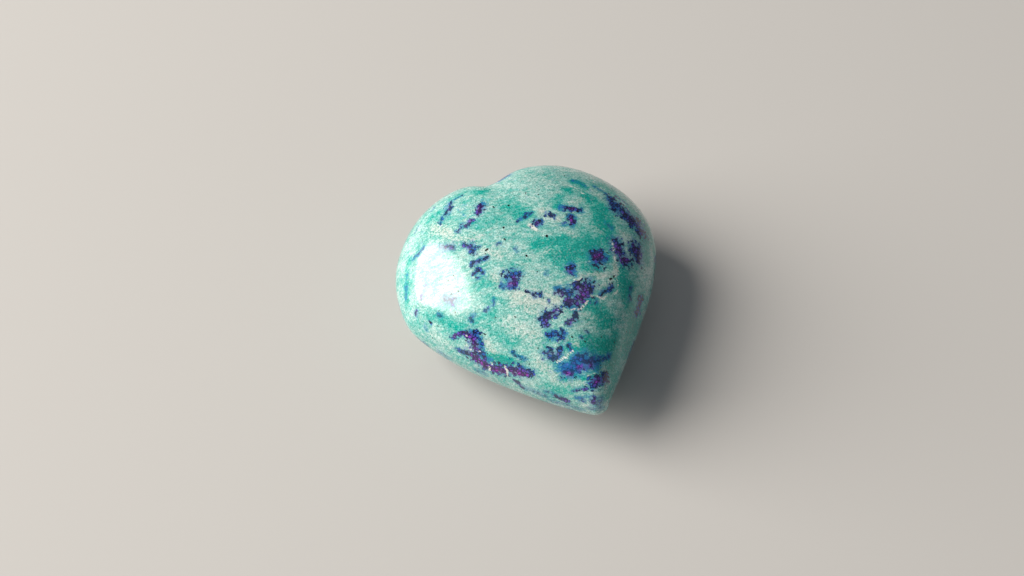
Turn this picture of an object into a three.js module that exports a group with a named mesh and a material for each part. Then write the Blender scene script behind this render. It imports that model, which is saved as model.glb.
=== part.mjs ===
// A polished heart-shaped stone of ruby in fuchsite, about 45 mm wide and 46 mm long.
// Millimetres, +Z up. The stone lies on the worn flat of its underside at z = 0: the point of the
// heart is towards -Y, the notch towards +Y and the two lobes towards +X and -X. The origin is
// below the middle of its outline.
import * as THREE from 'three';

// Driving dimensions of the girdle, the widest outline of the stone, seen from above. The heart's
// middle line runs from the notch to the tip. Each half has a lobe, the place of its widest reach,
// the pull of the flank's curve there and the turn of its edge at the tip, in degrees.
const RIGHT = { lobe: [7.4, 14.8], reach: 23.3, shoulder: -1.5, flankPull: 10.3, tipTurn: 46.5 };
const LEFT = { lobe: [5.6, 16.0], reach: 21.5, shoulder: -1.5, flankPull: 7.0, tipTurn: 40.5 };
const NOTCH = { y: 12.8, pull: 2.6, lobePull: 2.6 };
const TIP = { halfWidth: 1.2, y: -29.9, pull: 9.3, nosePull: 0.7 };

// The rounder outline that the level curves turn into towards the crown and the underside
const EGG = { top: 21.1, reach: 21.9, shoulder: -1.0, tip: -25.0 };

// Thickness: the crown above the girdle, and the belly below it down to the worn flat
const CROWN = 12.0;
const BELLY = 10.4;
const FLAT_DEPTH = 0.4;

// The profile is fuller than an ellipse, and the egg's share of a level grows as this power of
// its height
const FULLNESS = 0.87;
const EGG_POWER = 2.7;

// Fineness of the faces: steps along each stretch of the outline, and rings up and down
const STEPS = { notch: 5, lobe: 12, flank: 13, tip: 3 };
const CROWN_RINGS = 13;
const BELLY_RINGS = 11;

// A cubic curve with its handles at this share of the radius draws a quarter of an ellipse
const QUARTER = 0.5523;

const vector = (x, y) => new THREE.Vector2(x, y);
const cubic = (a, b, c, d) => new THREE.CubicBezierCurve(a, b, c, d);

function mirrored(curve) {
  const [a, b, c, d] = [curve.v3, curve.v2, curve.v1, curve.v0].map((p) => vector(-p.x, p.y));
  return cubic(a, b, c, d);
}

// One half of the girdle, drawn on the +X side: notch to lobe, lobe to shoulder, shoulder to tip
function girdleHalf({ lobe: [x, y], reach, shoulder, flankPull, tipTurn }) {
  const turn = THREE.MathUtils.degToRad(tipTurn);
  const lobe = vector(x, y);
  const side = vector(reach, shoulder);
  const tip = vector(TIP.halfWidth, TIP.y);
  return [
    cubic(vector(0, NOTCH.y), vector(NOTCH.pull, NOTCH.y), vector(x - NOTCH.lobePull, y), lobe),
    cubic(lobe, vector(x + (reach - x) * QUARTER, y),
      vector(reach, shoulder + (y - shoulder) * QUARTER), side),
    cubic(side, vector(reach, shoulder - flankPull),
      vector(tip.x + TIP.pull * Math.cos(turn), tip.y + TIP.pull * Math.sin(turn)), tip),
  ];
}

// The blunt, slightly rounded tip between the two halves
function girdleTip() {
  const [right, left] = [RIGHT, LEFT].map(({ tipTurn }) => {
    const turn = THREE.MathUtils.degToRad(tipTurn);
    return vector(TIP.halfWidth - TIP.nosePull * Math.cos(turn),
      TIP.y - TIP.nosePull * Math.sin(turn));
  });
  return cubic(vector(TIP.halfWidth, TIP.y), right,
    vector(-left.x, left.y), vector(-TIP.halfWidth, TIP.y));
}

// The egg outline has the same stretches, so that its points pair up with the girdle's
function eggHalf({ lobe: [x] }) {
  const { top, reach, shoulder, tip } = EGG;
  const lobe = vector(x, top);
  const side = vector(reach, shoulder);
  const end = vector(TIP.halfWidth, tip);
  return [
    cubic(vector(0, top), vector(NOTCH.pull, top), vector(x - NOTCH.lobePull, top), lobe),
    cubic(lobe, vector(x + (reach - x) * QUARTER, top),
      vector(reach, shoulder + (top - shoulder) * QUARTER), side),
    cubic(side, vector(reach, shoulder - (shoulder - tip) * QUARTER),
      vector(end.x + (reach - end.x) * QUARTER, tip), end),
  ];
}

function eggTip() {
  const third = TIP.halfWidth / 3;
  return cubic(vector(TIP.halfWidth, EGG.tip), vector(third, EGG.tip),
    vector(-third, EGG.tip), vector(-TIP.halfWidth, EGG.tip));
}

// A closed ring of points, clockwise from the notch: right half, tip, and left half back again
function ring(right, tip, left) {
  const steps = [STEPS.notch, STEPS.lobe, STEPS.flank];
  const stretches = [
    ...right.map((curve, i) => [curve, steps[i]]),
    [tip, STEPS.tip],
    ...left.map((curve, i) => [mirrored(curve), steps[i]]).reverse(),
  ];
  return stretches.flatMap(([curve, count]) => curve.getPoints(count).slice(0, -1));
}

const girdle = ring(girdleHalf(RIGHT), girdleTip(), girdleHalf(LEFT));
const egg = ring(eggHalf(RIGHT), eggTip(), eggHalf(LEFT));

// A level of the stone. The latitude is -90 degrees in the middle of the underside, 0 at the
// girdle and 90 at the crown. The level's size goes with its cosine and the height with its sine,
// and the belly ends in the flat.
const BASE = BELLY - FLAT_DEPTH;
function levelPoints(latitude) {
  const size = Math.cos(latitude) ** FULLNESS;
  const rise = Math.sin(latitude);
  const share = Math.abs(rise) ** EGG_POWER;
  const z = BASE + (rise > 0 ? CROWN * rise : Math.max(BELLY * rise, -BASE));
  return girdle.map((point, i) => {
    const mixed = point.clone().lerp(egg[i], share).multiplyScalar(size);
    return [mixed.x, mixed.y, z];
  });
}

// Even steps of latitude, from the rim of the flat to the girdle and from there to the crown
const flatLatitude = Math.asin(BASE / BELLY);
const latitudes = [
  ...Array.from({ length: BELLY_RINGS }, (_, i) => -flatLatitude * (1 - i / BELLY_RINGS)),
  ...Array.from({ length: CROWN_RINGS }, (_, i) => (Math.PI / 2) * (i / CROWN_RINGS)),
];

// Closed body: a fan over the flat, bands between neighbouring rings, and a fan over the crown
function heartGeometry() {
  const around = girdle.length;
  const rings = latitudes.map(levelPoints);
  const points = [[0, 0, 0], ...rings.flat(), [0, 0, BASE + CROWN]];
  const at = (level, i) => 1 + level * around + (i % around);
  const crown = points.length - 1;
  const last = rings.length - 1;
  const faces = [];
  for (let i = 0; i < around; i += 1) {
    faces.push(0, at(0, i), at(0, i + 1));
    for (let level = 0; level < last; level += 1) {
      faces.push(at(level, i), at(level + 1, i), at(level + 1, i + 1));
      faces.push(at(level, i), at(level + 1, i + 1), at(level, i + 1));
    }
    faces.push(crown, at(last, i + 1), at(last, i));
  }
  const geometry = new THREE.BufferGeometry();
  geometry.setAttribute('position', new THREE.Float32BufferAttribute(points.flat(), 3));
  geometry.setIndex(faces);
  geometry.computeVertexNormals();
  return geometry;
}

const polishedStone = new THREE.MeshStandardMaterial({
  name: 'ruby_in_fuchsite', color: 0x6fb9a6, roughness: 0.2, metalness: 0.0,
});

const heart = new THREE.Mesh(heartGeometry(), polishedStone);
heart.name = 'heart_stone';

// The middle of the outline goes over the origin
heart.geometry.computeBoundingBox();
const middle = heart.geometry.boundingBox.getCenter(new THREE.Vector3());
heart.position.set(-middle.x, -middle.y, 0);

const stone = new THREE.Group();
stone.name = 'ruby_in_fuchsite_heart';
stone.add(heart);

export default stone;
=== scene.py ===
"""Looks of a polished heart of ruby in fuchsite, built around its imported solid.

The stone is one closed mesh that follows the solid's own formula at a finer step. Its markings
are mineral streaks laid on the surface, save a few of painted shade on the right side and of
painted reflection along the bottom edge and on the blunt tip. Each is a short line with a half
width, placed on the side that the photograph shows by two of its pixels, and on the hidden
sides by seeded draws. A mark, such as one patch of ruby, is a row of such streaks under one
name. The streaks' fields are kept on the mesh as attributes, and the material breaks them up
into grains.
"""
import logging
import math
from dataclasses import dataclass, field
from enum import Enum
from typing import Any

import bpy
import numpy as np
from mathutils import Matrix, Vector


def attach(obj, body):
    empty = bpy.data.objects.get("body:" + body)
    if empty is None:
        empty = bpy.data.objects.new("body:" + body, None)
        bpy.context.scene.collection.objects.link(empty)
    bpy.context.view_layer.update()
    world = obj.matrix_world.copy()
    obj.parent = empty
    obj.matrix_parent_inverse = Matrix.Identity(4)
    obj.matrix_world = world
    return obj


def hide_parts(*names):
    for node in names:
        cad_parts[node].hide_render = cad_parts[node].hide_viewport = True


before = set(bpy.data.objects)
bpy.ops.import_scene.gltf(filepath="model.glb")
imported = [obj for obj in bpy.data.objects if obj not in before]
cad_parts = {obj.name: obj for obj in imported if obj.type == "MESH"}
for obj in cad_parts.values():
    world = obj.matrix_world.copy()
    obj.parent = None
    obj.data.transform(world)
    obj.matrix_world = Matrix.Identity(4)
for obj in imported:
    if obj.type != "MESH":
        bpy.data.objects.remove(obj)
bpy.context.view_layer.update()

LOG = logging.getLogger("ruby_in_fuchsite")

MM = 0.001
NODE = "heart_stone"
PHOTO_WIDTH = 1024
PHOTO_HEIGHT = 576
# Degrees from +X of the line along which the rock's fibres lie.
FOLIATION = -12.0
# A vertex whose normal has less than this cosine to the camera's direction counts as hidden.
HIDDEN_FACING = 0.04


def link(name: str, data: bpy.types.ID) -> bpy.types.Object:
    """Make an object of some data and link it to the scene.

    Args:
        name: the object's name.
        data: its mesh, light or camera.

    Returns:
        The new object.
    """
    made = bpy.data.objects.new(name, data)
    bpy.context.scene.collection.objects.link(made)
    return made


class Mineral(Enum):
    """What a streak is made of, save a few ruby streaks of painted reflection and deep green ones
    of painted shade; the value names the mesh attribute that holds its field.
    """

    RUBY = "ruby"
    CORE = "magenta_core"
    HALO = "blue_halo"
    GREEN = "deep_green"
    CREAM = "cream"
    VEIN = "white_vein"
    SPECK = "black_speck"


Marks = dict[str, list[tuple[float, ...]]]

RUBY_AND_PAINTED_REFLECTION_STREAKS: Marks = {
    "left lobe": [
        (462, 195, 455, 200, 1.5, 0.65), (450, 204, 447, 213, 3.6, 0.85),
        (442, 219, 441, 223, 2.4, 0.8), (418, 226, 415, 233, 1.3, 0.5),
        (434, 207, 431, 211, 1.2, 0.4),
    ],
    "below notch": [
        (481, 207, 479, 211, 4.8), (472, 220, 467, 226, 3.0, 0.8), (461, 224, 461, 227, 2.3, 0.9),
        (458, 231, 457, 232, 2.2, 0.9),
    ],
    "crown pair": [
        (528, 214, 525, 217, 2.3, 0.9), (521, 218, 517, 221, 1.6, 0.8),
        (532, 212, 531, 213, 1.3, 0.8), (539, 221, 536, 225, 4.0), (545, 213, 546, 216, 1.5, 0.95),
        (549, 212, 551, 216, 1.6, 0.95), (554, 214, 554, 219, 1.6, 0.95),
    ],
    "right crown": [
        (565, 208, 579, 210, 2.9), (570, 216, 572, 222, 3.5), (563, 223, 567, 222, 1.6, 0.7),
    ],
    "right lobe": [
        (611, 200, 616, 209, 6.0), (615, 196, 626, 204, 2.0, 0.6), (618, 207, 632, 221, 8.6),
        (632, 220, 641, 231, 8.4), (645, 236, 644, 238, 1.8, 0.9),
    ],
    "right pair": [
        (615, 241, 618, 250, 6.8), (619, 250, 625, 260, 7.8), (635, 248, 638, 256, 8.4),
    ],
    "round spots": [(598, 256, 599, 259, 7.6), (571, 266, 570, 272, 3.8)],
    "by the shine": [
        (464, 245, 470, 247, 3.6, 0.9), (470, 245, 472, 253, 3.8, 0.95),
        (443, 248, 452, 248, 4.4, 0.7), (440, 245, 441, 248, 1.8, 0.6),
        (478, 248, 481, 246, 1.6, 0.8),
    ],
    "chain by the shine": [
        (487, 257, 481, 259, 2.5), (479, 261, 472, 265, 2.9, 0.85), (478, 270, 474, 274, 3.0),
        (478, 277, 478, 278, 2.0), (484, 272, 483, 274, 1.9, 0.8),
    ],
    "middle twin": [
        (510, 276, 514, 276, 6.4), (518, 274, 520, 273, 2.4, 0.8), (510, 285, 513, 285, 5.0),
        (501, 285, 504, 289, 1.9, 0.8),
    ],
    "thin dash": [(526, 292, 529, 291, 1.8), (533, 293, 536, 294, 3.0), (540, 294, 541, 296, 2.8)],
    "main cluster": [
        (588, 283, 577, 286, 5.0), (586, 286, 580, 299, 7.6), (558, 293, 572, 295, 4.4, 0.9),
        (571, 300, 569, 306, 4.4, 0.95), (576, 302, 579, 307, 3.3), (594, 281, 594, 283, 2.2, 0.8),
    ],
    "loop": [(613, 287, 606, 291, 2.8, 0.95), (605, 292, 600, 295, 1.9, 0.85)],
    "spine": [
        (562, 307, 557, 310, 2.0, 0.9), (557, 310, 549, 315, 4.6), (546, 315, 541, 321, 3.8, 0.95),
        (547, 319, 546, 325, 4.2, 0.95), (576, 312, 575, 318, 2.6, 0.9),
        (573, 319, 569, 325, 3.4, 0.9),
    ],
    "under spine": [
        (549, 336, 553, 332, 2.6), (557, 332, 559, 336, 2.4), (562, 330, 563, 338, 2.0, 0.9),
    ],
    "step": [
        (548, 347, 552, 349, 2.2), (562, 346, 559, 351, 2.6, 0.95),
        (568, 346, 571, 350, 2.6, 0.85), (546, 354, 558, 355, 4.6, 0.8),
    ],
    "blue patch": [
        (575, 359, 585, 354, 5.4, 0.6), (566, 370, 591, 361, 8.0, 0.55), (580, 357, 584, 355, 3.2),
        (577, 366, 581, 369, 3.0), (588, 362, 592, 367, 3.0), (565, 373, 571, 375, 2.8),
        (593, 361, 600, 359, 4.0, 0.6), (603, 358, 609, 356, 3.2, 0.6),
    ],
    "tip": [
        (593, 383, 606, 378, 5.6), (573, 391, 587, 389, 2.2, 0.9), (580, 399, 584, 400, 3.4, 0.75),
        (595, 398, 593, 402, 3.5), (557, 396, 566, 401, 3.8, 0.9), (546, 391, 551, 393, 2.3, 0.4),
    ],
    "left chain": [
        (453, 337, 466, 332, 3.0, 0.95), (469, 335, 476, 336, 5.4), (475, 340, 477, 349, 7.0),
        (458, 350, 469, 354, 3.2, 0.85), (470, 354, 486, 365, 6.6),
        (479, 352, 483, 357, 4.0, 0.95), (492, 368, 505, 371, 6.2), (511, 370, 528, 373, 6.6),
        (515, 380, 523, 388, 2.4, 0.8),
    ],
    "below the shine": [
        (488, 308, 485, 311, 2.2, 0.6), (494, 299, 494, 304, 2.0, 0.6),
        (472, 316, 471, 321, 2.8, 0.6), (438, 315, 441, 316, 2.4, 0.45),
    ],
    "left side": [
        (416, 312, 416, 316, 2.6, 0.75), (425, 326, 427, 330, 2.0, 0.4), (429, 321, 431, 324, 1.5),
    ],
    "left rim": [(423, 248, 414, 257, 1.8, 0.65), (406, 287, 406, 298, 2.0, 0.45)],
    "in the shine": [(427, 284, 421, 298, 2.0, 0.6), (446, 299, 453, 301, 4.6, 0.7)],
    "lower blue dash": [(513, 352, 516, 355, 2.4, 0.6), (520, 357, 524, 360, 2.2, 0.6)],
    "faint dots": [
        (515, 249, 517, 251, 2.2, 0.5), (497, 244, 500, 243, 2.2, 0.55),
        (546, 271, 546, 275, 2.2, 0.4), (548, 300, 549, 301, 1.8, 0.6),
        (596, 301, 596, 304, 2.1, 0.7),
    ],
    "right flank": [(631, 287, 630, 298, 2.8, 0.6), (641, 299, 637, 313, 5.0, 0.95)],
    "right side dots": [
        (608, 225, 611, 228, 2.2, 0.5), (586, 331, 588, 333, 1.9, 0.7),
        (580, 337, 582, 338, 1.5, 0.6),
    ],
    # Painted reflection: a faint lilac-grey wash along the bottom edge, for the surface beneath
    # seen in the underside.
    "painted reflection on the lower rim": [
        (479, 371, 485, 374, 4.0, 0.3), (440, 352, 447, 357, 4.0, 0.3),
        (528, 389, 546, 396, 3.2, 0.3), (552, 401, 580, 409, 3.0, 0.35),
    ],
    # Painted reflection: a dark lilac-grey wash on the blunt tip's facet, for the dark surface
    # that it faces.
    "painted reflection on the tip facet": [(600, 398, 598, 408, 4.4, 0.45), (592, 409, 600, 409, 3.4, 0.4)],
}

CORE_STREAKS: Marks = {
    "below notch": [(480, 208, 479, 212, 3.6), (472, 220, 466, 227, 2.4, 0.8)],
    "crown pair": [(537, 223, 537, 225, 2.4, 0.8)],
    "right crown": [(569, 209, 573, 209, 2.0), (571, 219, 571, 222, 2.4)],
    "right pair": [
        (622, 258, 626, 259, 4.2), (617, 246, 619, 252, 4.4, 0.8), (634, 246, 639, 258, 5.0, 0.55),
    ],
    "right lobe": [(624, 213, 642, 232, 4.0, 0.35)],
    "round spots": [(595, 257, 600, 255, 3.2, 1.2), (569, 270, 570, 272, 1.8, 0.9)],
    "chain by the shine": [(477, 262, 474, 264, 2.0, 0.7)],
    "middle twin": [(513, 278, 516, 278, 2.4, 0.8), (510, 284, 514, 284, 3.2, 1.1)],
    "main cluster": [(583, 289, 580, 300, 6.2, 0.9), (560, 294, 570, 300, 4.0, 0.6)],
    "spine": [
        (555, 312, 550, 315, 3.4, 0.8), (546, 321, 546, 325, 3.2, 0.6),
        (572, 321, 569, 325, 3.2, 0.7),
    ],
    "step": [(546, 354, 558, 355, 4.0, 0.3)],
    "blue patch": [
        (565, 374, 570, 374, 4.2, 1.1), (579, 368, 582, 368, 3.2), (588, 367, 591, 366, 3.4, 0.7),
    ],
    "tip": [
        (596, 382, 602, 379, 4.2, 0.85), (576, 391, 585, 389, 2.2, 0.7),
        (596, 398, 592, 403, 2.6, 0.6), (557, 396, 566, 401, 3.0, 0.6),
    ],
    "left chain": [
        (454, 336, 465, 332, 2.6, 0.9), (467, 336, 472, 337, 3.6, 0.85),
        (474, 341, 475, 349, 4.2, 0.9), (472, 356, 485, 365, 5.0, 1.05),
        (494, 369, 504, 372, 4.8, 1.25), (512, 372, 526, 375, 4.8, 1.25),
        (515, 380, 523, 388, 2.2, 0.6),
    ],
    "left side": [(416, 312, 416, 315, 2.2, 0.7)],
    "left lobe": [(450, 206, 448, 210, 1.8, 0.6)],
    "right flank": [(641, 299, 638, 312, 3.4, 0.3)],
    "by the shine": [(441, 248, 466, 248, 4.2, 0.75)],
    "in the shine": [(427, 284, 421, 298, 2.0, 0.8), (446, 299, 453, 301, 4.2, 0.6)],
}

HALO_STREAKS: Marks = {
    "below notch": [(485, 203, 480, 207, 4.0, 0.8)],
    "crown pair": [
        (528, 214, 517, 221, 2.8, 0.5), (540, 221, 537, 226, 4.0, 0.5),
        (545, 214, 554, 217, 3.4, 0.35),
    ],
    "right crown": [
        (561, 208, 580, 210, 4.2), (570, 216, 573, 224, 4.6, 0.9), (560, 226, 568, 224, 3.2, 0.55),
    ],
    "right lobe": [
        (572, 181, 584, 185, 3.2, 0.7), (594, 186, 606, 194, 2.2), (609, 200, 618, 212, 4.6, 0.6),
    ],
    "round spots": [(594, 258, 603, 257, 8.4), (572, 266, 571, 273, 5.4, 0.9)],
    "middle twin": [
        (508, 279, 520, 274, 4.6, 0.5), (510, 286, 514, 286, 4.6, 0.8),
        (501, 285, 504, 289, 2.4, 0.6),
    ],
    "chain by the shine": [(480, 259, 473, 275, 3.0, 0.3), (484, 272, 480, 278, 2.8, 0.45)],
    "main cluster": [(556, 287, 572, 287, 3.6, 0.9), (568, 306, 573, 308, 3.4, 0.9)],
    "loop": [(614, 286, 600, 295, 3.0, 0.45)],
    "under spine": [(549, 335, 564, 333, 5.4, 0.8)],
    "blue patch": [(566, 369, 592, 361, 10.0, 1.2), (594, 361, 609, 356, 4.4, 0.8)],
    "tip": [(592, 383, 600, 378, 5.0, 0.6), (577, 398, 586, 396, 3.8, 0.6)],
    "left chain": [
        (470, 331, 479, 337, 4.0, 0.7), (480, 341, 482, 350, 3.4, 0.9),
        (481, 352, 490, 360, 4.0, 0.8), (520, 368, 531, 373, 3.6, 0.9),
    ],
    "lower blue dash": [(512, 351, 525, 360, 3.0, 0.5)],
    "left rim": [(407, 275, 406, 299, 3.0, 0.6), (423, 248, 413, 258, 2.8, 0.6)],
    "below the shine": [(494, 299, 480, 314, 2.6, 0.12), (472, 316, 471, 321, 3.4, 0.2)],
    "right green dots": [(606, 222, 611, 229, 3.2, 0.4)],
    "left lobe": [(459, 208, 464, 213, 5.0, 0.35)],
}

GREEN_AND_PAINTED_SHADE_STREAKS: Marks = {
    "crown": [(536, 245, 567, 239, 5.4), (560, 256, 592, 244, 13.0, 1.15)],
    "right lobe": [(602, 211, 607, 234, 11.0, 1.15), (586, 197, 593, 200, 5.2, 1.3)],
    "top": [
        (566, 190, 569, 191, 4.2, 1.1), (559, 197, 558, 206, 5.0, 0.6),
        (572, 182, 584, 186, 4.4, 0.7),
    ],
    "left of the crown": [
        (476, 193, 488, 190, 3.4, 0.5), (507, 206, 526, 216, 9.0, 0.45),
        (480, 226, 500, 222, 9.0, 0.35),
    ],
    "left lobe": [(428, 220, 440, 211, 6.0, 0.3), (409, 262, 407, 302, 4.4, 0.5)],
    "below shine": [(430, 318, 462, 328, 7.0, 0.45), (462, 326, 492, 314, 7.0, 0.25)],
    "middle": [(474, 288, 492, 281, 6.0, 0.4), (478, 300, 496, 298, 4.0, 0.3)],
    "low middle": [(486, 357, 508, 363, 5.4, 1.3), (500, 336, 516, 344, 6.0, 0.35)],
    "right side": [
        (587, 268, 596, 271, 6.4, 1.15), (590, 303, 604, 322, 10.0, 0.9),
        (622, 275, 634, 330, 10.0, 0.8), (575, 348, 604, 343, 9.0),
    ],
    # Painted shade: deep teal laid along the right edge, on the side turned away from the light.
    "painted shade on the right rim": [
        (604, 186, 640, 218, 4.5, 0.8), (646, 224, 655, 268, 5.5, 0.9),
        (646, 238, 648, 262, 5.0, 0.8),
    ],
    # Painted shade: deep teal laid over the right flank, the shaded side of the stone.
    "right flank": [
        (616, 338, 612, 370, 8.0), (642, 296, 626, 348, 8.0), (618, 372, 606, 398, 5.0, 0.7),
    ],
    "low stripes": [
        (533, 247, 540, 242, 4.0, 0.6), (546, 384, 566, 392, 5.0, 0.4),
        (560, 378, 590, 377, 3.0, 0.6),
    ],
}

CREAM_STREAKS: Marks = {
    "left lobe": [(436, 228, 450, 233, 10.0, 0.75)],
    "above shine": [(455, 241, 478, 238, 6.0, 0.55), (484, 251, 500, 256, 6.0, 0.6)],
    "middle twin": [(493, 276, 500, 283, 5.0, 0.6)],
    "crown pair": [(529, 225, 536, 229, 3.0, 1.2), (541, 212, 557, 219, 5.6, 0.8)],
    "right crown": [(570, 203, 582, 200, 4.2, 0.5), (566, 231, 576, 236, 4.6, 0.4)],
    "right lobe": [(592, 190, 602, 200, 3.0, 0.5), (592, 226, 600, 232, 4.0, 0.35)],
    "right pair": [(618, 228, 630, 238, 4.4, 0.45), (613, 241, 616, 270, 3.4, 0.9)],
    "loop": [
        (556, 283, 596, 275, 3.4, 0.6), (598, 276, 617, 273, 4.0, 0.8),
        (598, 286, 612, 281, 5.0, 0.5),
    ],
    "middle": [(518, 296, 556, 301, 13.0, 0.8), (508, 322, 536, 336, 11.0, 0.5)],
    "spine": [(578, 312, 594, 317, 5.0, 0.45), (527, 309, 538, 314, 6.0, 0.6)],
    "step": [(556, 341, 576, 342, 5.0, 0.5)],
    "blue patch": [(540, 362, 556, 378, 9.0, 0.55), (560, 383, 588, 383, 5.0, 0.55)],
    "left chain": [(487, 341, 494, 352, 4.6, 0.7), (467, 345, 471, 350, 3.0, 0.8)],
    "top": [(500, 180, 540, 178, 7.0, 0.3), (524, 196, 532, 186, 6.0, 0.2)],
    "rims": [
        (585, 405, 596, 409, 5.0, 0.5), (431, 333, 450, 345, 6.0, 0.4),
        (556, 250, 530, 258, 5.0, 0.4),
    ],
}

VEIN_STREAKS: Marks = {
    "top": [
        (569, 186, 584, 194, 1.4, 0.6), (593, 182, 604, 190, 1.3, 0.6),
        (617, 197, 629, 209, 1.1, 0.5),
    ],
    "crown pair": [(529, 225, 536, 229, 2.0)],
    "right pair": [(613, 244, 615, 262, 1.5, 0.8)],
    "main cluster": [
        (574, 280, 582, 277, 1.2, 0.6), (560, 308, 552, 320, 1.2, 0.6),
        (571, 310, 584, 306, 1.2, 0.7), (584, 306, 592, 296, 1.2),
    ],
    "loop": [
        (592, 296, 604, 298, 1.2, 0.8), (604, 298, 615, 294, 1.1, 0.8),
        (616, 293, 619, 285, 1.1, 0.8), (619, 285, 616, 277, 1.1, 0.7),
    ],
    "bead vein": [(573, 352, 565, 357, 1.1), (565, 357, 557, 362, 1.2)],
    "under blue patch": [(587, 376, 594, 373, 1.3, 0.8)],
    "left chain": [
        (491, 363, 489, 370, 1.4, 0.85), (506, 366, 508, 371, 1.2, 0.85),
        (508, 371, 508, 377, 1.5, 0.85), (467, 331, 467, 336, 1.2, 0.7),
        (469, 349, 480, 351, 1.2, 0.7),
    ],
}

SPECK_STREAKS: Marks = {
    "crown": [
        (508, 205, 509, 205, 1.1, 1.2), (493, 206, 494, 207, 1.0, 0.9), (504, 227, 504, 228, 1.0),
        (505, 238, 506, 239, 0.9, 0.9),
    ],
    "middle": [(486, 250, 488, 249, 1.0, 1.3), (526, 255, 527, 256, 1.0, 1.2)],
    "top pair": [(539, 190, 539, 190, 0.9), (539, 194, 539, 194, 0.9)],
    "pale middle": [(546, 235, 547, 237, 0.9, 1.2), (515, 316, 516, 317, 0.9, 0.9)],
    "low right": [(585, 341, 586, 342, 1.2, 1.2), (572, 338, 573, 338, 1.1)],
    "under the patch": [(560, 377, 561, 377, 1.0, 1.1), (575, 378, 577, 377, 1.0, 1.1)],
    "left foot": [(431, 322, 430, 323, 1.2, 1.2)],
    "loop": [(610, 279, 612, 279, 1.1, 1.2), (614, 277, 615, 276, 1.1, 1.2)],
    "right side": [
        (607, 253, 608, 253, 1.0, 0.9), (594, 282, 594, 283, 1.1, 1.1),
        (586, 319, 586, 320, 0.9, 0.9), (612, 320, 612, 321, 0.9, 0.9),
    ],
    "low middle": [(484, 334, 485, 334, 1.0, 0.9)],
    "pits in the shine": [
        (453, 275, 454, 276, 0.8, 0.9), (458, 291, 459, 292, 0.9, 0.9),
        (452, 293, 451, 294, 0.8, 0.8), (448, 282, 448, 285, 0.7, 0.7),
    ],
}

MARKINGS: dict[Mineral, Marks] = {
    Mineral.RUBY: RUBY_AND_PAINTED_REFLECTION_STREAKS,
    Mineral.CORE: CORE_STREAKS,
    Mineral.HALO: HALO_STREAKS,
    Mineral.GREEN: GREEN_AND_PAINTED_SHADE_STREAKS,
    Mineral.CREAM: CREAM_STREAKS,
    Mineral.VEIN: VEIN_STREAKS,
    Mineral.SPECK: SPECK_STREAKS,
}


@dataclass(frozen=True)
class Streak:
    """A stroke of mineral along a short line between two pixels of the photograph.

    The half width is in pixels too, and the strength is the share of the mineral in the rock.
    """

    mark: str
    start: tuple[float, float]
    end: tuple[float, float]
    half_width: float
    strength: float = 1.0

    @classmethod
    def all_of(cls, marks: Marks) -> list["Streak"]:
        """Turn the marks of one mineral into streaks.

        Args:
            marks: rows of x, y, x, y, half width and, unless it is 1, strength, by mark.

        Returns:
            The streaks of every mark, in order.
        """
        return [
            cls(mark, row[:2], row[2:4], *row[4:])
            for mark, rows in marks.items()
            for row in rows
        ]


@dataclass(frozen=True)
class Scatter:
    """How a mineral's streaks are drawn for the hidden sides; sizes are in millimetres."""

    count: int
    length: tuple[float, float]
    half_width: tuple[float, float]
    strength: tuple[float, float]


SCATTERS: dict[Mineral, Scatter] = {
    Mineral.RUBY: Scatter(120, (0.3, 3.2), (0.3, 1.1), (0.6, 1.0)),
    Mineral.GREEN: Scatter(26, (1.0, 5.0), (0.7, 1.8), (0.6, 1.1)),
    Mineral.CREAM: Scatter(26, (1.0, 5.0), (0.6, 1.6), (0.5, 0.9)),
    Mineral.VEIN: Scatter(16, (1.5, 4.5), (0.16, 0.26), (0.6, 1.1)),
    Mineral.SPECK: Scatter(30, (0.1, 0.3), (0.2, 0.28), (0.8, 1.3)),
}


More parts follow.
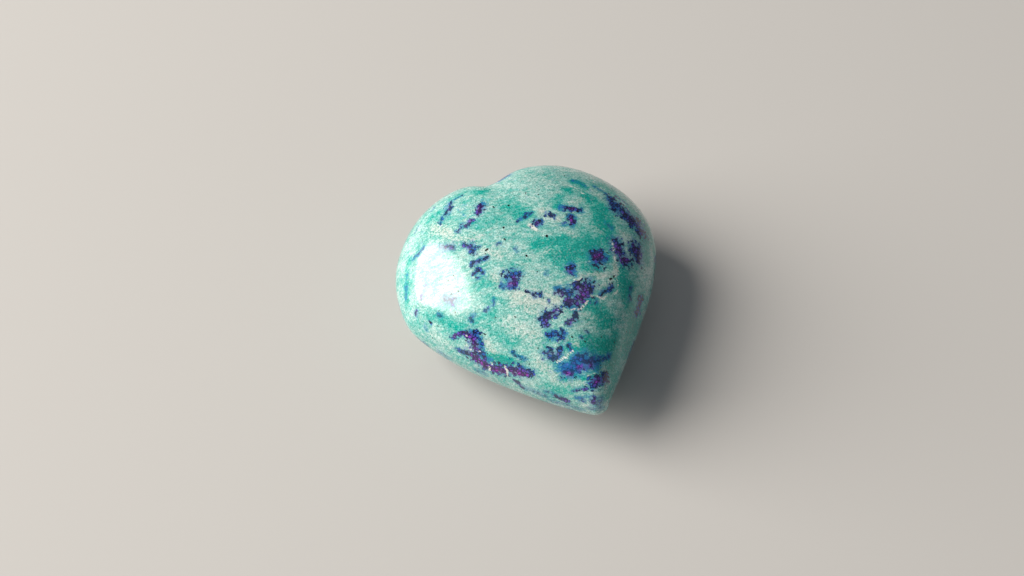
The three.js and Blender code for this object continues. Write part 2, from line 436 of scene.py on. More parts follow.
@dataclass(frozen=True)
class PhotoView:
    """Where the photograph was taken from, in the stone's frame."""

    elevation: float = 57.0
    heading: float = 25.9
    roll: float = 0.4
    distance: float = 0.295
    lens: float = 60.0
    sensor: float = 36.0
    aim: tuple[float, float, float] = (-0.00102, 0.00984, 0.0)

    @property
    def focal(self) -> float:
        """The focal length in pixels of the photograph."""
        return PHOTO_WIDTH * self.lens / self.sensor

    def across(self) -> np.ndarray:
        """The level direction that points right in the picture."""
        turn = math.radians(self.heading)
        return np.array([math.cos(turn), -math.sin(turn), 0.0])

    def away(self) -> np.ndarray:
        """The level direction that points up and away in the picture."""
        turn = math.radians(self.heading)
        return np.array([math.sin(turn), math.cos(turn), 0.0])

    def axes(self) -> np.ndarray:
        """Work out the camera's own axes.

        Returns:
            Three unit rows: the camera's right, its up, and the way back from the stone.
        """
        tilt, roll = math.radians(self.elevation), math.radians(self.roll)
        back = -self.away() * math.cos(tilt) + np.array([0.0, 0.0, math.sin(tilt)])
        right = self.across()
        up = np.cross(back, right)
        return np.array([
            right * math.cos(roll) + up * math.sin(roll),
            up * math.cos(roll) - right * math.sin(roll),
            back,
        ])

    def place(self) -> np.ndarray:
        """The camera's place: back from the aim point by the distance."""
        return np.array(self.aim) + self.axes()[2] * self.distance

    def towards(self, azimuth: float, elevation: float) -> np.ndarray:
        """Turn a direction read in the picture into the stone's frame.

        Args:
            azimuth: degrees from straight away from the camera round to the right.
            elevation: degrees above the level.

        Returns:
            A unit vector from the stone.
        """
        turn, lift = math.radians(azimuth), math.radians(elevation)
        level = self.across() * math.sin(turn) + self.away() * math.cos(turn)
        return level * math.cos(lift) + np.array([0.0, 0.0, math.sin(lift)])

    def project(self, points: np.ndarray) -> tuple[np.ndarray, np.ndarray]:
        """Find where points of the stone show in the photograph.

        Pixel = middle of the frame plus focal length times sideways offset over depth.

        Args:
            points: places in metres, one row each.

        Returns:
            Their pixels, one row each, and their depths in metres.
        """
        seen = (points - self.place()) @ self.axes().T
        depth = -seen[:, 2]
        across = PHOTO_WIDTH / 2 + self.focal * seen[:, 0] / depth
        down = PHOTO_HEIGHT / 2 - self.focal * seen[:, 1] / depth
        return np.stack([across, down], axis=1), depth

    def set_camera(self) -> bpy.types.Object:
        """Make the camera and give it to the scene.

        Returns:
            The camera.
        """
        data = bpy.data.cameras.new("photo_camera")
        data.lens = self.lens
        data.sensor_width = self.sensor
        data.clip_start = 0.01
        camera = link("photo_camera", data)
        pose = np.eye(4)
        pose[:3, :3] = self.axes().T
        pose[:3, 3] = self.place()
        camera.matrix_world = Matrix(pose.tolist())
        bpy.context.scene.camera = camera
        return camera


Stretch = list[tuple[float, float]]


@dataclass(frozen=True)
class Half:
    """One half of a level outline, in millimetres and drawn on the +X side.

    It starts on the middle line, passes over the lobe and the widest reach, and ends at the tip.
    """

    lobe: tuple[float, float]
    reach: float
    shoulder: float
    flank_pull: float
    tip_turn: float
    start_y: float = 12.8
    tip_y: float = -29.9
    tip_pull: float = 9.3


@dataclass(frozen=True)
class Egg:
    """The rounder outline of the crown and the underside, in millimetres."""

    top: float = 21.1
    reach: float = 21.9
    shoulder: float = -1.0
    tip: float = -25.0


@dataclass
class HeartStone:
    """The polished stone: its outline, its thickness and the mesh made from them."""

    right: Half = Half((7.4, 14.8), 23.3, -1.5, 10.3, 46.5)
    left: Half = Half((5.6, 16.0), 21.5, -1.5, 7.0, 40.5)
    egg: Egg = Egg()
    notch_pull: float = 2.6
    lobe_pull: float = 2.6
    tip_half_width: float = 1.2
    nose_pull: float = 0.7
    quarter: float = 0.5523
    crown: float = 12.0
    belly: float = 10.4
    flat_depth: float = 0.4
    flat_softness: float = 0.1
    fullness: float = 0.87
    egg_power: float = 2.7
    steps: tuple[int, int, int] = (26, 84, 104)
    tip_steps: int = 12
    rings: int = 206
    hand_wave: float = 0.035
    hand_waves: int = 9
    wave_lengths: tuple[float, float] = (7.0, 16.0)
    clear_height: float = 3.0
    seed: int = 11
    points: np.ndarray = field(init=False)
    normals: np.ndarray = field(init=False)
    areas: np.ndarray = field(init=False)
    around: int = field(init=False)

    @staticmethod
    def cubic(control: Stretch, steps: int) -> np.ndarray:
        """Points of a cubic curve: (1-t)^3 a + 3(1-t)^2 t b + 3(1-t) t^2 c + t^3 d.

        Args:
            control: the four control points a, b, c and d.
            steps: how many points, from t = 0 and without the last.

        Returns:
            One row for each point.
        """
        t = np.arange(steps)[:, None] / steps
        a, b, c, d = np.array(control, dtype=float)
        return (1 - t) ** 3 * a + 3 * (1 - t) ** 2 * t * b + 3 * (1 - t) * t ** 2 * c + t ** 3 * d

    def stretches(self, half: Half) -> list[Stretch]:
        """Work out the control points of half an outline.

        Args:
            half: one half of the girdle or of the egg outline.

        Returns:
            The stretches from the start to the lobe, on to the widest reach and on to the tip.
        """
        (x, y), q, turn = half.lobe, self.quarter, math.radians(half.tip_turn)
        side = (half.reach, half.shoulder)
        tip = (self.tip_half_width, half.tip_y)
        return [
            [(0, half.start_y), (self.notch_pull, half.start_y), (x - self.lobe_pull, y), (x, y)],
            [(x, y), (x + (half.reach - x) * q, y),
             (half.reach, half.shoulder + (y - half.shoulder) * q), side],
            [side, (half.reach, half.shoulder - half.flank_pull),
             (tip[0] + half.tip_pull * math.cos(turn), tip[1] + half.tip_pull * math.sin(turn)),
             tip],
        ]

    def rounder(self, half: Half) -> Half:
        """Work out the half of the egg outline that goes with a half of the girdle.

        Args:
            half: the girdle's half, of which the egg keeps only where its lobe stands.

        Returns:
            The egg's half, bent as ellipses are.
        """
        egg = self.egg
        return Half(
            lobe=(half.lobe[0], egg.top), reach=egg.reach, shoulder=egg.shoulder,
            flank_pull=(egg.shoulder - egg.tip) * self.quarter, tip_turn=0.0,
            start_y=egg.top, tip_y=egg.tip,
            tip_pull=(egg.reach - self.tip_half_width) * self.quarter,
        )

    def tips(self) -> tuple[Stretch, Stretch]:
        """Work out the control points across the blunt tip.

        Returns:
            The girdle's stretch and the egg outline's.
        """
        w, y = self.tip_half_width, self.right.tip_y
        bends = [
            (w - self.nose_pull * math.cos(math.radians(half.tip_turn)),
             y - self.nose_pull * math.sin(math.radians(half.tip_turn)))
            for half in (self.right, self.left)
        ]
        girdle = [(w, y), bends[0], (-bends[1][0], bends[1][1]), (-w, y)]
        return girdle, [(x, self.egg.tip) for x in (w, w / 3, -w / 3, -w)]

    def ring(self, right: Half, tip: Stretch, left: Half) -> np.ndarray:
        """Join the stretches of a closed outline, clockwise from the notch.

        Args:
            right: the right half.
            tip: control points across the tip.
            left: the left half, drawn on the +X side.

        Returns:
            One row for each point, in millimetres.
        """
        parts = [self.cubic(c, n) for c, n in zip(self.stretches(right), self.steps)]
        parts.append(self.cubic(tip, self.tip_steps))
        for control, steps in reversed(list(zip(self.stretches(left), self.steps))):
            parts.append(self.cubic([(-x, y) for x, y in control[::-1]], steps))
        return np.concatenate(parts)

    def surface(self) -> tuple[np.ndarray, np.ndarray]:
        """Work out the grid of the stone over latitude and outline parameter.

        A level at latitude a has size cos(a) ^ fullness and height sin(a), times the crown above
        the girdle and the belly below it. Its outline is the girdle's mixed with the egg's by
        the share |sin(a)| ^ egg power. The belly is cut by the flat with a softened rim.

        Returns:
            The rings as an array of rings by points by three, and the two poles.
        """
        girdle_tip, egg_tip = self.tips()
        girdle = self.ring(self.right, girdle_tip, self.left)
        egg = self.ring(self.rounder(self.right), egg_tip, self.rounder(self.left))
        self.around = len(girdle)
        latitude = np.linspace(-math.pi / 2, math.pi / 2, self.rings + 2)[1:-1]
        size = (np.cos(latitude) ** self.fullness)[:, None, None]
        share = (np.abs(np.sin(latitude)) ** self.egg_power)[:, None, None]
        outline = size * ((1 - share) * girdle + share * egg)
        height = self.height(np.sin(latitude))[:, None, None] * np.ones((1, self.around, 1))
        low, high = girdle.min(axis=0), girdle.max(axis=0)
        middle = np.array([*(low + high) / 2, 0.0])
        rings = np.concatenate([outline, height], axis=2) - middle
        poles = np.array([[0, 0, self.height(np.array(s))] for s in (-1.0, 1.0)]) - middle
        return rings * MM, poles * MM

    def height(self, rise: np.ndarray) -> np.ndarray:
        """Height in millimetres for the sine of a latitude.

        The belly's height h above the flat is softened to (h + sqrt(h^2 + s^2)) / 2, less a
        small share that brings the flat itself back down to zero.

        Args:
            rise: sines of latitudes, below zero on the belly.

        Returns:
            Heights above the surface that the stone rests on.
        """
        base = self.belly - self.flat_depth
        under = self.belly * rise + base
        soft = (under + np.sqrt(under ** 2 + self.flat_softness ** 2)) / 2
        sunk = (math.hypot(self.flat_depth, self.flat_softness) - self.flat_depth) / 2
        return np.where(rise > 0, base + self.crown * rise, soft - sunk * (1 - under / base))

    def faces(self) -> np.ndarray:
        """Index the quads between rings and the fans at the poles.

        Returns:
            The triangles, three vertex numbers to a row, facing outwards.
        """
        n, rings = self.around, self.rings
        here = np.arange(rings * n).reshape(rings, n)
        beside = np.roll(here, -1, axis=1)
        a, b, c, d = here[:-1], here[1:], beside[1:], beside[:-1]
        low, high = rings * n, rings * n + 1
        bands = np.concatenate([
            np.stack([a, b, c], axis=2).reshape(-1, 3), np.stack([a, c, d], axis=2).reshape(-1, 3),
        ])
        under = np.stack([np.full(n, low), here[0], beside[0]], axis=1)
        over = np.stack([np.full(n, high), beside[-1], here[-1]], axis=1)
        return np.concatenate([bands, under, over])

    def find_normals(self, faces: np.ndarray) -> None:
        """Sum each vertex's face normals, weighted by area, and keep direction and area.

        Args:
            faces: the triangles, three vertex numbers to a row.
        """
        corner = self.points[faces]
        across = np.cross(corner[:, 1] - corner[:, 0], corner[:, 2] - corner[:, 0])
        total = np.zeros_like(self.points)
        for k in range(3):
            for axis in range(3):
                total[:, axis] += np.bincount(faces[:, k], across[:, axis], len(self.points))
        self.areas = np.linalg.norm(total, axis=1)
        self.normals = total / self.areas[:, None]

    def polish_by_hand(self) -> None:
        """Give the surface the slight waves of hand polishing, and none near the flat.

        The wave is the sum of a few sines along drawn directions over the square root of their
        count, times the wave height, and it moves each point along its normal.
        """
        rng = np.random.default_rng(self.seed)
        along = rng.normal(size=(self.hand_waves, 3))
        along /= np.linalg.norm(along, axis=1, keepdims=True)
        length = rng.uniform(*self.wave_lengths, self.hand_waves) * MM
        phase = rng.uniform(0, 2 * math.pi, self.hand_waves)
        wave = np.sin(self.points @ (along / length[:, None]).T * 2 * math.pi + phase)
        clear = np.clip(self.points[:, 2] / (self.clear_height * MM), 0, 1)
        lift = wave.mean(axis=1) * clear * self.hand_wave * MM * math.sqrt(self.hand_waves)
        self.points = self.points + self.normals * lift[:, None]

    def build(self) -> bpy.types.Object:
        """Make the stone's mesh, smooth shaded, where its solid stands.

        Returns:
            The new object, linked to the scene.
        """
        rings, poles = self.surface()
        self.points = np.concatenate([rings.reshape(-1, 3), poles])
        faces = self.faces()
        self.find_normals(faces)
        self.polish_by_hand()
        self.find_normals(faces)
        mesh = bpy.data.meshes.new("heart")
        mesh.vertices.add(len(self.points))
        mesh.vertices.foreach_set("co", self.points.ravel())
        mesh.loops.add(faces.size)
        mesh.loops.foreach_set("vertex_index", faces.ravel())
        mesh.polygons.add(len(faces))
        mesh.polygons.foreach_set("loop_start", np.arange(0, faces.size, 3))
        mesh.polygons.foreach_set("use_smooth", np.ones(len(faces), dtype=bool))
        mesh.update(calc_edges=True)
        mesh.validate()
        return link("polished_heart", mesh)


LaidStreak = tuple[np.ndarray, np.ndarray, float, float]


@dataclass
class MineralFields:
    """Fields of the minerals over the stone, one number for each vertex."""

    heart: HeartStone
    view: PhotoView
    seed: int = 5
    waves: tuple[tuple[float, float], ...] = ((3.1, 0.15), (1.3, 0.08))
    fields: dict[str, np.ndarray] = field(default_factory=dict)
    pixels: np.ndarray = field(init=False)
    depths: np.ndarray = field(init=False)
    facing: np.ndarray = field(init=False)
    bent: np.ndarray = field(init=False)

    def __post_init__(self) -> None:
        """See every vertex through the photograph's camera."""
        self.pixels, self.depths = self.view.project(self.heart.points)
        to_camera = self.view.place() - self.heart.points
        to_camera /= np.linalg.norm(to_camera, axis=1, keepdims=True)
        self.facing = np.einsum("ij,ij->i", to_camera, self.heart.normals)
        self.bent = self.wander(self.heart.points)

    def wander(self, points: np.ndarray) -> np.ndarray:
        """Bend space a little, so that what is straight in it lies in wavy lines on the stone.

        Each coordinate gets a long and a short sine of the other two added.

        Args:
            points: places in metres, one row each.

        Returns:
            The same places, moved by fractions of a millimetre.
        """
        waves = np.zeros_like(points)
        for length, height in self.waves:
            turn = points * (2 * math.pi / (length * MM))
            for axis in range(3):
                other, third = turn[:, axis - 1], turn[:, axis - 2]
                waves[:, axis] += height * MM * np.sin(other + 0.6 * third + axis)
        return points + waves

    def seen_at(self, pixel: tuple[float, float]) -> int:
        """The vertex that shows nearest to a pixel of the photograph."""
        gap = np.hypot(self.pixels[:, 0] - pixel[0], self.pixels[:, 1] - pixel[1])
        return int(np.argmin(np.where(self.facing > 0, gap, np.inf)))

    def distance(self, start: np.ndarray, end: np.ndarray) -> np.ndarray:
        """Distance of every vertex from the line between two points of the surface.

        The nearest point of the line is the start plus the clamped projection of the offset.

        Args:
            start: one end of the line, in the bent space.
            end: its other end.

        Returns:
            One distance in metres for each vertex.
        """
        along = end - start
        offset = self.bent - start
        share = np.clip(offset @ along / max(along @ along, 1e-12), 0, 1)
        return np.linalg.norm(offset - share[:, None] * along, axis=1)

    def placed(self, streak: Streak) -> LaidStreak:
        """Put a streak of the photograph on the surface.

        Args:
            streak: one that the photograph shows.

        Returns:
            Its two ends, its half width in metres and its strength.
        """
        start, end = self.seen_at(streak.start), self.seen_at(streak.end)
        width = streak.half_width * self.depths[start] / self.view.focal
        return self.bent[start], self.bent[end], width, streak.strength

    def drawn(self, rng: np.random.Generator, scatter: Scatter) -> list[LaidStreak]:
        """Draw streaks for the sides that the photograph hides.

        Each starts at a vertex turned away from the camera and runs along the rock's foliation,
        give or take half a radian, laid onto the surface.

        Args:
            rng: the source of the draws.
            scatter: how many streaks, and the ranges that they are drawn from.

        Returns:
            Ends, half width in metres and strength of each streak.
        """
        hidden = np.flatnonzero(self.facing < HIDDEN_FACING)
        share = self.heart.areas[hidden] / self.heart.areas[hidden].sum()
        streaks = []
        for start in rng.choice(hidden, scatter.count, p=share):
            turn = math.radians(FOLIATION) + rng.normal(0, 0.5)
            along = np.array([math.cos(turn), math.sin(turn), rng.normal(0, 0.3)])
            normal = self.heart.normals[start]
            along -= normal * (along @ normal)
            along /= np.linalg.norm(along)
            there = self.heart.points[start] + along * rng.uniform(*scatter.length) * MM
            end = int(np.argmin(np.linalg.norm(self.heart.points - there, axis=1)))
            width = rng.uniform(*scatter.half_width) * MM
            streaks.append((self.bent[start], self.bent[end], width,
                            rng.uniform(*scatter.strength)))
        return streaks

    def hide(self, rng: np.random.Generator) -> dict[Mineral, list[LaidStreak]]:
        """Draw every mineral's streaks for the hidden sides.

        Every second ruby streak has a narrower magenta core, and every third a wider blue halo.

        Args:
            rng: the source of the draws.

        Returns:
            The streaks of each mineral.
        """
        ruby = self.drawn(rng, SCATTERS[Mineral.RUBY])
        hidden = {
            Mineral.RUBY: ruby,
            Mineral.CORE: [(a, b, w * 0.7, rng.uniform(0.3, 1.1)) for a, b, w, _ in ruby[::2]],
            Mineral.HALO: [(a, b, w * 1.4, rng.uniform(0.5, 1.0)) for a, b, w, _ in ruby[::3]],
        }
        for mineral in (Mineral.GREEN, Mineral.CREAM, Mineral.VEIN, Mineral.SPECK):
            hidden[mineral] = self.drawn(rng, SCATTERS[mineral])
        return hidden

    def glow(self, streaks: list[LaidStreak]) -> np.ndarray:
        """Greatest of strength times exp(-(distance / half width)^2) over the streaks.

        Args:
            streaks: those of one mineral.

        Returns:
            One value for each vertex.
        """
        greatest = np.zeros(len(self.heart.points))
        for start, end, width, strength in streaks:
            gap = self.distance(start, end) / width
            greatest = np.maximum(greatest, strength * np.exp(-gap ** 2))
        return greatest

    def grow_ruby(self, streaks: list[LaidStreak]) -> None:
        """Keep how far inside a ruby streak each vertex is, and how strong the ruby is there.

        The field is 1 on a streak's line, 0 at its half width and down to -2 outside. The
        strength is the mean of the streaks' own, weighted by exp(-2 (distance / half width)^2).

        Args:
            streaks: those of the ruby.
        """
        inside = np.full(len(self.heart.points), -2.0)
        total = np.full(len(self.heart.points), 1e-6)
        weighted = total.copy()
        for start, end, width, strength in streaks:
            gap = self.distance(start, end) / width
            inside = np.maximum(inside, 1 - gap)
            weight = np.exp(-2 * np.minimum(gap, 6) ** 2)
            total += weight
            weighted += weight * strength
        self.fields["ruby"] = inside
        self.fields["ruby_strength"] = weighted / total

    def grow(self) -> int:
        """Fill every mineral's field, with drawn streaks on the sides that don't show.

        Returns:
            How many streaks were placed from the photograph.
        """
        hidden = self.hide(np.random.default_rng(self.seed))
        count = 0
        for mineral, marks in MARKINGS.items():
            laid = [self.placed(streak) for streak in Streak.all_of(marks)]
            count += len(laid)
            laid += hidden[mineral]
            if mineral is Mineral.RUBY:
                self.grow_ruby(laid)
            else:
                self.fields[mineral.value] = self.glow(laid)
        return count

    def store(self, mesh: bpy.types.Mesh) -> None:
        """Write every field to the mesh as a point attribute of its name.

        Args:
            mesh: the stone's, with its vertices in the fields' order.
        """
        for name, values in self.fields.items():
            layer = mesh.attributes.new(name, "FLOAT", "POINT")
            layer.data.foreach_set("value", values.astype(np.float32))


class Wire:
    """An output socket that takes part in arithmetic by adding Math nodes to its sheet."""

    def __init__(self, sheet: "Sheet", socket: bpy.types.NodeSocket) -> None:
        """Hold the socket and the sheet that its nodes go into."""
        self.sheet = sheet
        self.socket = socket

    def __add__(self, other: "Wire | float") -> "Wire":
        """Sum."""
        return self.sheet.math("ADD", self, other)

    def __radd__(self, other: float) -> "Wire":
        """Sum with a number in front."""
        return self.sheet.math("ADD", other, self)

    def __sub__(self, other: "Wire | float") -> "Wire":
        """Difference."""
        return self.sheet.math("SUBTRACT", self, other)

    def __rsub__(self, other: float) -> "Wire":
        """Difference from a number, so that 1 - mask works."""
        return self.sheet.math("SUBTRACT", other, self)

    def __mul__(self, other: "Wire | float") -> "Wire":
        """Product."""
        return self.sheet.math("MULTIPLY", self, other)

    def __rmul__(self, other: float) -> "Wire":
        """Product with a number in front."""
        return self.sheet.math("MULTIPLY", other, self)

    def swing(self, reach: float) -> "Wire":
        """The value about its middle of one half, times a reach."""
        return (self - 0.5) * reach

    def above(self, low: float, high: float) -> "Wire":
        """Make a mask that rises smoothly with the value.

        Args:
            low: the value at which the mask leaves 0.
            high: the value at which it reaches 1.

        Returns:
            The mask.
        """
        settings = {"interpolation_type": "SMOOTHSTEP"}
        inputs = {"Value": self, "From Min": low, "From Max": high}
        return self.sheet.wire("ShaderNodeMapRange", "Result", settings, inputs)

    def greater(self, other: "Wire | float") -> "Wire":
        """The greater of two values."""
        return self.sheet.math("MAXIMUM", self, other)


@dataclass
class Sheet:
    """The node tree of one material, and the one way that nodes get into it."""

    tree: bpy.types.NodeTree

    def node(self, kind: str, settings: dict[str, Any], inputs: dict[Any, Any]) -> bpy.types.Node:
        """Add a node.

        Args:
            kind: the node's type.
            settings: its own settings by name; the key stops holds a colour ramp's stops.
            inputs: a value or a Wire for each named or numbered socket.

        Returns:
            The node.
        """
        made = self.tree.nodes.new(kind)
        for name, value in settings.items():
            if name == "stops":
                ramp = made.color_ramp.elements
                for extra in value[2:]:
                    ramp.new(extra[0])
                for stop, (place, colour) in zip(ramp, value):
                    stop.position, stop.color = place, colour
            else:
                setattr(made, name, value)
        for key, value in inputs.items():
            if isinstance(value, Wire):
                self.tree.links.new(value.socket, made.inputs[key])
            else:
                made.inputs[key].default_value = value
        return made

    def wire(self, kind: str, output: str | int, settings: dict[str, Any],
             inputs: dict[Any, Any]) -> Wire:
        """Add a node and take one of its outputs."""
        return Wire(self, self.node(kind, settings, inputs).outputs[output])

    def math(self, operation: str, a: Wire | float, b: Wire | float) -> Wire:
        """Add a Math node of two values."""
        return self.wire("ShaderNodeMath", "Value", {"operation": operation}, {0: a, 1: b})

    def blend(self, share: Wire | float, a: Any, b: Any) -> Wire:
        """Mix two colours: the share of b in a."""
        settings = {"data_type": "RGBA", "clamp_factor": True}
        return self.wire("ShaderNodeMix", 2, settings, {0: share, 6: a, 7: b})

    def shift(self, place: Wire, by: Wire, reach: float) -> Wire:
        """Move a place by a noise colour, up to half the reach each way."""
        middled = self.vector("SUBTRACT", by, (0.5, 0.5, 0.5))
        return self.vector("ADD", place, self.scale(middled, reach))

    def vector(self, operation: str, a: Wire, b: Any) -> Wire:
        """Add a Vector Math node of two vectors."""
        return self.wire("ShaderNodeVectorMath", 0, {"operation": operation}, {0: a, 1: b})

    def scale(self, vector: Wire, by: Wire | float) -> Wire:
        """Multiply a place or a colour by a number."""
        inputs = {0: vector, "Scale": by}
        return self.wire("ShaderNodeVectorMath", 0, {"operation": "SCALE"}, inputs)

    def field(self, name: str) -> Wire:
        """Read one of the mesh's mineral fields."""
        return self.wire("ShaderNodeAttribute", "Fac", {"attribute_name": name}, {})

    def noise(self, place: Wire, scale: float, detail: float, rough: float = 0.5) -> Wire:
        """Noise of 0 to 1 with a number of bumps to the millimetre."""
        inputs = {"Vector": place, "Scale": scale, "Detail": detail, "Roughness": rough}
        return self.wire("ShaderNodeTexNoise", 0, {}, inputs)

    def noise_colour(self, place: Wire, scale: float, detail: float) -> Wire:
        """Noise in three channels, for moving places."""
        inputs = {"Vector": place, "Scale": scale, "Detail": detail}
        return self.wire("ShaderNodeTexNoise", 1, {}, inputs)

    def cells(self, place: Wire, scale: float, feature: str = "F1") -> bpy.types.Node:
        """Voronoi cells with a number of cells to the millimetre."""
        return self.node("ShaderNodeTexVoronoi", {"feature": feature},
                         {"Vector": place, "Scale": scale})

    def chance(self, cells: bpy.types.Node, channel: int) -> Wire:
        """One draw of 0 to 1 for each cell."""
        colour = Wire(self, cells.outputs["Color"])
        return self.wire("ShaderNodeSeparateColor", channel, {}, {0: colour})


def paint(code: str) -> tuple[float, float, float, float]:
    """Turn a colour such as 8FCBB7 from sRGB into linear light.

    Each channel c becomes c / 12.92 below 0.04045 and ((c + 0.055) / 1.055) ^ 2.4 above it.

    Args:
        code: two hexadecimal digits for each of red, green and blue.

    Returns:
        The colour with an alpha of one.
    """
    channels = [int(code[k:k + 2], 16) / 255 for k in (0, 2, 4)]
    linear = [c / 12.92 if c < 0.04045 else ((c + 0.055) / 1.055) ** 2.4 for c in channels]
    return (*linear, 1.0)


@dataclass
class RubyInFuchsite:
    """The polished rock: green chromium mica with pale feldspar and grains of ruby.

    The mica runs from pale mint to deep teal. The rows of specks are the black ones and the
    white ones: cells to the millimetre, an offset that tells their cells apart, and the share of
    cells that stay empty. Place is in millimetres, grain and fine are noises of the size of a
    grain, and mottle is one of the size of a patch. Each layer is laid over the colour so far.
    """

    mica: tuple[tuple[float, str], ...] = (
        (0.0, "ABCFCC"), (0.34, "71B9B3"), (0.68, "20A89D"), (1.0, "009C92"),
    )
    cream: str = "D3D6D1"
    white: str = "E2E5E0"
    cyan: str = "0A86A4"
    blue: str = "1557A8"
    navy: str = "0D0B2C"
    violet: str = "5D3FAA"
    magenta: str = "982CA6"
    plum: str = "260F46"
    black: str = "050D10"
    speck_rows: tuple[tuple[float, float, float], ...] = ((1.0, 0.0, 0.73), (1.2, 40.0, 0.93))
    ruby_grains_to_mm: float = 1.75
    relief_depth: float = 0.02
    sheet: Sheet = field(init=False)
    place: Wire = field(init=False)
    grain: Wire = field(init=False)
    fine: Wire = field(init=False)
    mottle: Wire = field(init=False)
    colour: Wire = field(init=False)

    def material(self) -> bpy.types.Material:
        """Make the material, layer by layer.

        Returns:
            The finish of the whole stone.
        """
        made = bpy.data.materials.new("ruby_in_fuchsite")
        made.use_nodes = True
        made.node_tree.nodes.clear()
        self.sheet = sheet = Sheet(made.node_tree)
        self.place = sheet.scale(sheet.wire("ShaderNodeTexCoord", "Object", {}, {}), 1 / MM)
        self.grain = sheet.noise(self.place, 2.6, 2.0, 0.65)
        self.fine = sheet.noise(self.place, 4.6, 2.0, 0.7)
        curled = sheet.shift(self.place, sheet.noise_colour(self.place, 0.5, 1.0), 1.2)
        self.mottle = sheet.noise(curled, 0.75, 4.0, 0.6)
        self.matrix()
        self.stains()
        ruby = self.ruby()
        self.veins()
        self.colour = sheet.scale(self.colour, 0.96 + self.grain.swing(0.8) + self.fine.swing(1.7))
        pits = self.specks()
        height = self.grain * 0.25 - pits - ruby * 0.15
        relief = {"Strength": 0.5, "Distance": self.relief_depth * MM, "Height": height}
        shader = sheet.wire("ShaderNodeBsdfPrincipled", "BSDF", {}, {
            "Base Color": self.colour,
            "Roughness": 0.08 + self.grain * 0.16 + pits * 0.1,
            "IOR": 1.6,
            "Normal": sheet.wire("ShaderNodeBump", "Normal", {}, relief),
            "Coat Weight": 0.15,
            "Coat Roughness": 0.09,
            "Coat IOR": 1.5,
        })
        sheet.node("ShaderNodeOutputMaterial", {}, {"Surface": shader})
        return made

    def lay(self, share: Wire, code: str) -> None:
        """Lay a colour over the rock's own by a share."""
        self.colour = self.sheet.blend(share, self.colour, paint(code))

    def matrix(self) -> None:
        """Colour the green mica: clouds and fibres drawn out along the foliation, and flakes."""
        sheet = self.sheet
        along = sheet.wire("ShaderNodeMapping", "Vector", {"vector_type": "TEXTURE"}, {
            "Vector": self.place,
            "Rotation": (0.25, 0.1, math.radians(FOLIATION)),
            "Scale": (2.6, 1.0, 1.4),
        })
        clouds = sheet.noise(along, 0.42, 5.0, 0.6)
        fibres = sheet.noise(along, 2.2, 3.0, 0.6)
        flakes = sheet.cells(self.place, 3.6)
        # The deep green field also holds the painted shade laid on the right edge and flank.
        depth = (0.26 + sheet.field("deep_green") * 0.85 + clouds.swing(1.1)
                 + self.mottle.swing(0.7) + fibres.swing(1.25) - self.grain.swing(0.2)
                 - self.fine.swing(0.75) + sheet.chance(flakes, 0).swing(0.2))
        stops = [(stop, paint(code)) for stop, code in self.mica]
        self.colour = sheet.wire("ShaderNodeValToRGB", "Color", {"stops": stops}, {0: depth})
        # White on a share of the mica flakes: partly their pale colour, partly a painted glint.
        shine = sheet.chance(flakes, 1) + self.fine.swing(1.2)
        self.lay(shine.above(0.75, 1.3) * 0.25, self.white)

    def stains(self) -> None:
        """Lay pale feldspar and the blue stain around the ruby over the mica."""
        pale = self.sheet.field("cream") + self.mottle.swing(1.2) + self.grain.swing(2.3)
        self.lay(pale.above(0.1, 1.0) * 0.75, self.cream)
        stain = self.sheet.field("blue_halo") + self.mottle.swing(1.0) + self.grain.swing(2.2)
        self.lay(stain.above(0.15, 0.7) * 0.8, self.cyan)
        self.lay(stain.above(0.5, 1.1) * 0.8, self.blue)

    def ruby(self) -> Wire:
        """Lay the ruby: a blue and violet wash, and small grains crowded into it.

        A grain is a cell of about half a millimetre with a dark edge. It shows where the ruby's
        field and the cell's own draw sum high, so grains touch at heart and thin out past the
        edge, and also where the ruby is weak.

        Returns:
            The ruby's mask.
        """
        sheet = self.sheet
        strength = sheet.field("ruby_strength")
        halo = sheet.field("blue_halo")
        rich = sheet.field("magenta_core")
        clump = sheet.noise(self.place, 1.7, 2.0, 0.6)
        inside = sheet.field("ruby") + 0.06 + (clump.swing(1.75) + self.grain.swing(1.5))
        self.lay((inside + halo * 0.4).above(-0.9, 0.2) * 0.4, self.cyan)
        violet = (rich + self.grain.swing(1.6)).above(-0.05, 0.6)
        tone = sheet.blend(violet, paint(self.blue), paint(self.violet))
        magenta = (rich + clump.swing(2.0)).above(0.7, 1.3)
        tone = sheet.blend(magenta, tone, paint(self.magenta))
        # The marks on the bottom edge and on the blunt tip's facet feed this wash and its sparse
        # grains: there it is painted reflection, not ruby.
        wash = inside.above(-0.3, 0.45) * strength
        self.colour = sheet.blend(wash * (0.42 + halo * 0.4), self.colour, tone)
        bent = sheet.shift(self.place, sheet.noise_colour(self.place, 3.0, 1.0), 0.3)
        cells = sheet.cells(bent, self.ruby_grains_to_mm)
        gaps = sheet.cells(bent, self.ruby_grains_to_mm, "DISTANCE_TO_EDGE")
        draw, hue, tint = (sheet.chance(cells, k) for k in range(3))
        plum = (rich + hue.swing(0.8)).above(0.2, 0.8)
        dark = sheet.blend(plum, paint(self.navy), paint(self.plum))
        heart = Wire(sheet, gaps.outputs["Distance"]).above(0.04, 0.27)
        grains = sheet.blend(heart * (0.25 + tint.above(0.1, 0.6)), dark, tone)
        crowd = inside * 0.9 + (draw - 0.46) * 1.25 + (strength - 1) * 0.9
        mask = crowd.above(0.08, 0.38) * (0.3 + strength * 0.7)
        self.colour = sheet.blend(mask * 0.96, self.colour, grains)
        return mask

    def veins(self) -> None:
        """Lay thin white veins over everything, thick and thin by turns."""
        by_turns = 1 + self.grain.swing(4.0) + self.mottle.swing(1.5)
        self.lay((self.sheet.field("white_vein") * by_turns).above(0.3, 0.62) * 0.8, self.white)

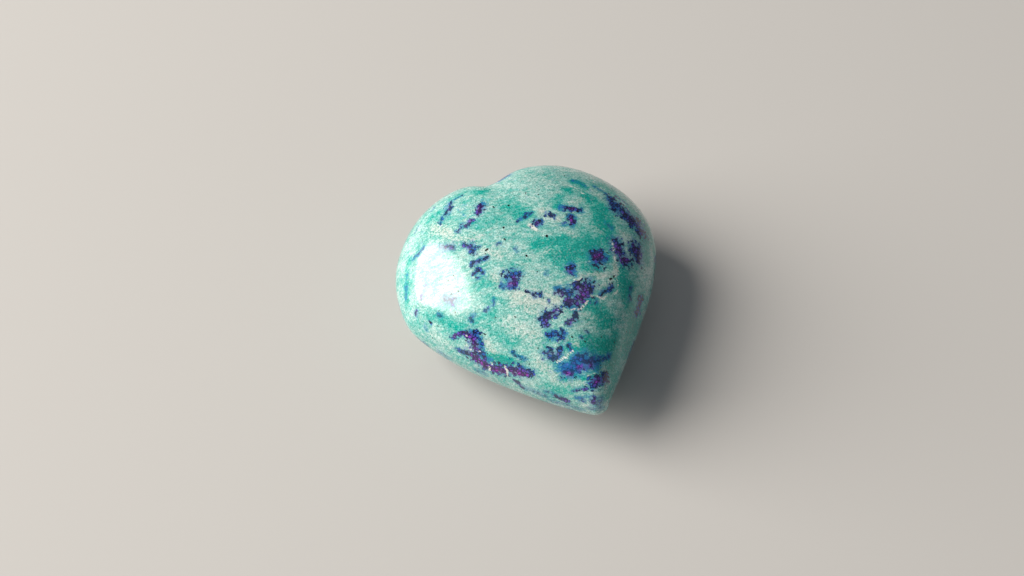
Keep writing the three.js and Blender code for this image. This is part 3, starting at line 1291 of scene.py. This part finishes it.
    def specks(self) -> Wire:
        """Scatter black and white specks, a few to the square centimetre.

        Returns:
            The mask of the dark ones, which are pits.
        """
        masks = []
        for scale, offset, rare in self.speck_rows:
            moved = self.sheet.vector("ADD", self.place, (offset, offset, offset))
            cells = self.sheet.cells(moved, scale)
            gap = Wire(self.sheet, cells.outputs["Distance"])
            chosen = self.sheet.chance(cells, 0).above(rare, rare + 0.1)
            masks.append((1 - gap.above(0.06 * scale, 0.17 * scale)) * chosen)
        dark = masks[0].greater(self.sheet.field("black_speck").above(0.42, 0.75))
        self.lay(dark, self.black)
        self.lay(masks[1] * 0.6, self.white)
        return dark


@dataclass(frozen=True)
class Studio:
    """A plain pale floor and soft light, with the window of the photograph to the left."""

    view: PhotoView
    floor_colour: str = "BAB9B9"
    floor_reach: float = 3.0
    floor_roughness: float = 0.9
    window_azimuth: float = -88.0
    window_elevation: float = 33.0
    window_distance: float = 1.3
    window_size: tuple[float, float] = (1.3, 1.42)
    window_power: float = 41.0
    window_colour: tuple[float, float, float] = (1.0, 0.94, 0.845)
    sky_colour: tuple[float, float, float, float] = (0.93, 0.96, 1.0, 1.0)
    horizon: float = 0.065
    overhead: float = 0.225

    def floor(self) -> bpy.types.Object:
        """Lay the floor: one large matt sheet at the height that the stone rests on.

        Returns:
            The floor.
        """
        mesh = bpy.data.meshes.new("floor")
        r = self.floor_reach
        corners = [(-r, -r, 0), (r, -r, 0), (r, r, 0), (-r, r, 0)]
        mesh.from_pydata(corners, [], [(0, 1, 2, 3)])
        made = bpy.data.materials.new("floor")
        made.use_nodes = True
        shader = made.node_tree.nodes["Principled BSDF"]
        shader.inputs["Base Color"].default_value = paint(self.floor_colour)
        shader.inputs["Roughness"].default_value = self.floor_roughness
        mesh.materials.append(made)
        floor = link("floor", mesh)
        return floor

    def light(self) -> None:
        """Hang the window and set the faint light from all round."""
        data = bpy.data.lights.new("window", "AREA")
        data.shape = "ELLIPSE"
        data.size, data.size_y = self.window_size
        data.energy = self.window_power
        data.color = self.window_colour
        window = link("window", data)
        towards = self.view.towards(self.window_azimuth, self.window_elevation)
        window.location = np.array(self.view.aim) + towards * self.window_distance
        window.rotation_euler = Vector(towards).to_track_quat("Z", "Y").to_euler()
        world = bpy.data.worlds.new("room")
        world.use_nodes = True
        sheet = Sheet(world.node_tree)
        way = sheet.wire("ShaderNodeTexCoord", "Generated", {}, {})
        up = sheet.wire("ShaderNodeSeparateXYZ", 2, {}, {0: way})
        light = self.horizon + up.above(0.25, 1.0) * self.overhead
        sky = world.node_tree.nodes["Background"]
        sky.inputs["Color"].default_value = self.sky_colour
        world.node_tree.links.new(light.socket, sky.inputs["Strength"])
        bpy.context.scene.world = world


def main() -> None:
    """Build the view, the stone, its markings and finish, and the studio, in that order."""
    logging.basicConfig(level=logging.INFO, format="%(message)s")
    view = PhotoView()
    view.set_camera()
    heart = HeartStone()
    stone = heart.build()
    LOG.info("stone: %d vertices, %d triangles", len(heart.points), len(stone.data.polygons))
    fields = MineralFields(heart, view)
    placed = fields.grow()
    fields.store(stone.data)
    LOG.info("markings: %d placed streaks", placed)
    stone.data.materials.append(RubyInFuchsite().material())
    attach(stone, "root")
    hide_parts(NODE)
    studio = Studio(view)
    studio.floor()
    studio.light()
    bpy.context.scene.view_settings.view_transform = "Standard"
    LOG.info("studio: floor, window and room light")


if __name__ == "__main__":
    main()
